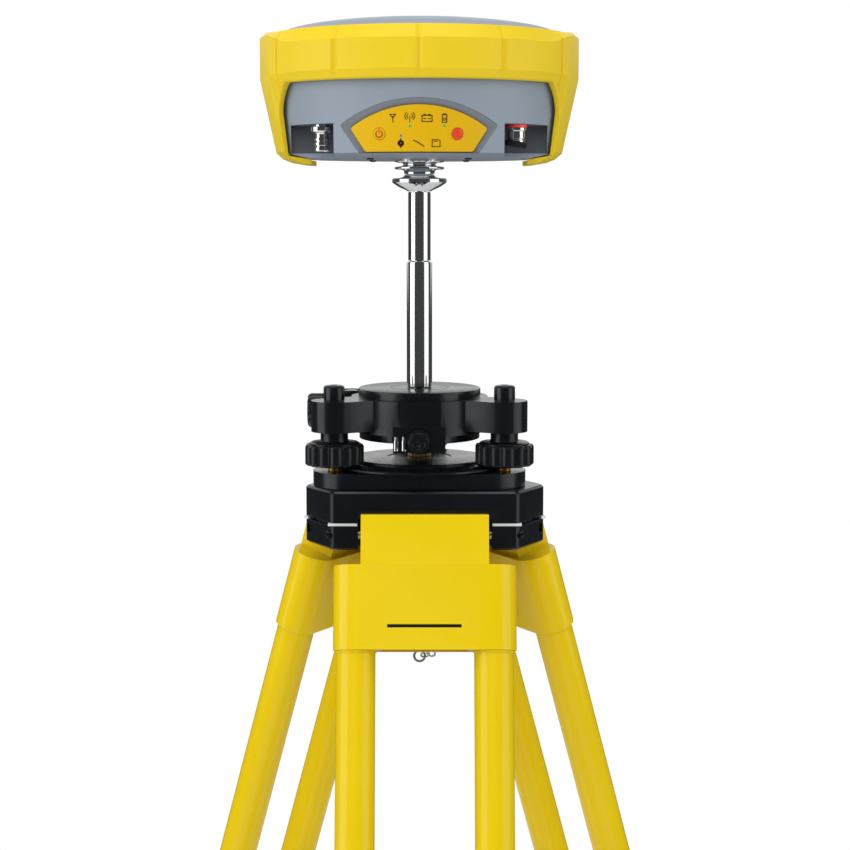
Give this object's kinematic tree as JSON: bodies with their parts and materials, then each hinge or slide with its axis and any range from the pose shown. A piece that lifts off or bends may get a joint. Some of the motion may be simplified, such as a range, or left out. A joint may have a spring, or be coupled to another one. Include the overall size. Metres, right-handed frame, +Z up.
{
  "type": "gnss receiver",
  "caption": "Round satellite positioning receiver with a yellow bumper on a chrome rod, tribrach with foot screws and folding twin-tube tripod.",
  "frame": {"origin": "middle of the footprint's bounding box, on the floor", "axes": "+Z up along the instrument's vertical axis, -Y towards the operator and the front leg, +X to the operator's right"},
  "size_m": [0.6796, 0.598, 1.3649],
  "materials": {
    "tripod_yellow_paint": "smooth glossy yellow powder paint",
    "bumper_yellow_rubber": "soft satin yellow moulded rubber plastic",
    "keypad_yellow": "satin orange-yellow membrane",
    "housing_grey": "fine satin grey moulded plastic",
    "black_casting": "satin black paint on cast aluminium",
    "black_plastic": "satin black moulded plastic",
    "black_rubber": "matte black rubber",
    "chrome": "polished chrome on steel",
    "steel": "fine turned steel",
    "aluminium": "anodised aluminium",
    "brass": "turned brass",
    "red_button": "red moulded key",
    "board_green": "green circuit board",
    "ceramic_patch": "ceramic antenna patch"
  },
  "bodies": {
    "head": {"tripod_head": "black_casting", "hinge_pin_1": "steel", "hinge_pin_2": "steel", "hinge_pin_3": "steel", "tribrach_base_plate": "black_casting", "spring_plate": "black_casting", "tribrach_body": "black_casting", "circular_level": "black_plastic", "foot_screw_cap_1": "black_casting", "foot_screw_cap_2": "black_casting", "foot_screw_cap_3": "black_casting"},
    "centring_screw_body": {"centring_screw": "steel"},
    "locking_knob_body": {"locking_knob": "black_plastic"},
    "eyepiece": {"plummet_eyepiece": "black_plastic"},
    "carrier": {"carrier_plate": "black_casting", "lower_rod": "chrome", "upper_rod": "chrome", "quick_release_adapter": "chrome", "lower_housing": "housing_grey", "radome_cover": "housing_grey", "protective_bumper": "bumper_yellow_rubber", "housing_seal": "black_rubber", "keypad_panel": "keypad_yellow", "tnc_connector": "chrome", "lemo_port": "steel", "battery_pack": "black_plastic", "main_board": "board_green", "antenna_element": "ceramic_patch", "thread_insert": "brass"},
    "power_key": {"power_button": "keypad_yellow"},
    "function_key": {"function_button": "red_button"},
    "door": {"battery_door": "housing_grey"},
    "door_latch": {"battery_door_latch": "black_plastic"},
    "leg_1": {"leg_bracket_1": "tripod_yellow_paint", "leg_tube_left_1": "tripod_yellow_paint", "leg_tube_right_1": "tripod_yellow_paint", "leg_clamp_1": "black_casting"},
    "leg_extension_1": {"extension_leg_1": "aluminium", "foot_1": "steel"},
    "clamp_screw_body_1": {"clamp_screw_1": "black_plastic"},
    "foot_screw_1": {"foot_screw_knob_1": "black_plastic", "foot_screw_spindle_1": "brass"},
    "leg_2": {"leg_bracket_2": "tripod_yellow_paint", "leg_tube_left_2": "tripod_yellow_paint", "leg_tube_right_2": "tripod_yellow_paint", "leg_clamp_2": "black_casting"},
    "leg_extension_2": {"extension_leg_2": "aluminium", "foot_2": "steel"},
    "clamp_screw_body_2": {"clamp_screw_2": "black_plastic"},
    "foot_screw_2": {"foot_screw_knob_2": "black_plastic", "foot_screw_spindle_2": "brass"},
    "leg_3": {"leg_bracket_3": "tripod_yellow_paint", "leg_tube_left_3": "tripod_yellow_paint", "leg_tube_right_3": "tripod_yellow_paint", "leg_clamp_3": "black_casting"},
    "leg_extension_3": {"extension_leg_3": "aluminium", "foot_3": "steel"},
    "clamp_screw_body_3": {"clamp_screw_3": "black_plastic"},
    "foot_screw_3": {"foot_screw_knob_3": "black_plastic", "foot_screw_spindle_3": "brass"}
  },
  "joints": [
    {"name": "leg_1_hinge", "type": "hinge", "parent": "head", "child": "leg_1", "pos_m": [0, 0.0429, 1.05194], "axis": [-1, 0, 0], "range_deg": [-17, 0]},
    {"name": "leg_1_slide", "type": "slide", "parent": "leg_1", "child": "leg_extension_1", "axis": [0, -0.2924, -0.9563], "range_m": [0, 0.35]},
    {"name": "clamp_screw_1_turn", "type": "hinge", "parent": "leg_1", "child": "clamp_screw_body_1", "pos_m": [0, -0.16965, 0.3567], "axis": [0, -0.9563, 0.2924], "range_deg": [-720, 0]},
    {"name": "foot_screw_1_turn", "type": "hinge", "parent": "head", "child": "foot_screw_1", "pos_m": [-0.05588, 0.0626, 1.07894], "axis": [0, 0, 1], "range_deg": [-1440, 1440]},
    {"name": "leg_2_hinge", "type": "hinge", "parent": "head", "child": "leg_2", "pos_m": [0.0433, 0.1179, 1.05194], "axis": [0.5, -0.866, 0], "range_deg": [-17, 0]},
    {"name": "leg_2_slide", "type": "slide", "parent": "leg_2", "child": "leg_extension_2", "axis": [0.2532, 0.1462, -0.9563], "range_m": [0, 0.35]},
    {"name": "clamp_screw_2_turn", "type": "hinge", "parent": "leg_2", "child": "clamp_screw_body_2", "pos_m": [0.22738, 0.22418, 0.3567], "axis": [0.8282, 0.4782, 0.2924], "range_deg": [-720, 0]},
    {"name": "foot_screw_2_turn", "type": "hinge", "parent": "head", "child": "foot_screw_2", "pos_m": [0.04908, 0.0626, 1.07894], "axis": [0, 0, 1], "range_deg": [-1440, 1440]},
    {"name": "leg_3_hinge", "type": "hinge", "parent": "head", "child": "leg_3", "pos_m": [-0.0433, 0.1179, 1.05194], "axis": [0.5, 0.866, 0], "range_deg": [-17, 0]},
    {"name": "leg_3_slide", "type": "slide", "parent": "leg_3", "child": "leg_extension_3", "axis": [-0.2532, 0.1462, -0.9563], "range_m": [0, 0.35]},
    {"name": "clamp_screw_3_turn", "type": "hinge", "parent": "leg_3", "child": "clamp_screw_body_3", "pos_m": [-0.22738, 0.22418, 0.3567], "axis": [-0.8282, 0.4782, 0.2924], "range_deg": [-720, 0]},
    {"name": "foot_screw_3_turn", "type": "hinge", "parent": "head", "child": "foot_screw_3", "pos_m": [-0.0034, 0.1535, 1.07894], "axis": [0, 0, 1], "range_deg": [-1440, 1440]},
    {"name": "centring_screw_turn", "type": "hinge", "parent": "head", "child": "centring_screw_body", "pos_m": [-0.0034, 0.0929, 1.07894], "axis": [0, 0, 1], "range_deg": [-1440, 0]},
    {"name": "locking_knob_turn", "type": "hinge", "parent": "head", "child": "locking_knob_body", "pos_m": [-0.0634, 0.1009, 1.12194], "axis": [-1, 0, 0], "range_deg": [0, 180]},
    {"name": "eyepiece_focus", "type": "hinge", "parent": "head", "child": "eyepiece", "pos_m": [-0.0034, 0.0479, 1.10894], "axis": [0, -1, 0], "range_deg": [-90, 90]},
    {"name": "carrier_turn", "type": "hinge", "parent": "head", "child": "carrier", "pos_m": [-0.0034, 0.0929, 1.07894], "axis": [0, 0, 1], "continuous": true},
    {"name": "battery_door_hinge", "type": "hinge", "parent": "carrier", "child": "door", "pos_m": [-0.0034, 0.173, 1.28694], "axis": [-1, 0, 0], "range_deg": [0, 110]},
    {"name": "door_latch_slide", "type": "slide", "parent": "door", "child": "door_latch", "axis": [0, 0, -1], "range_m": [0, 0.0025]},
    {"name": "power_button_press", "type": "slide", "parent": "carrier", "child": "power_key", "axis": [0.2681, 0.9535, 0.1374], "range_m": [0, 0.0005], "stiffness_N_per_m": 2000},
    {"name": "function_button_press", "type": "slide", "parent": "carrier", "child": "function_key", "axis": [-0.2611, 0.9555, 0.1374], "range_m": [0, 0.0005], "stiffness_N_per_m": 2000}
  ]
}
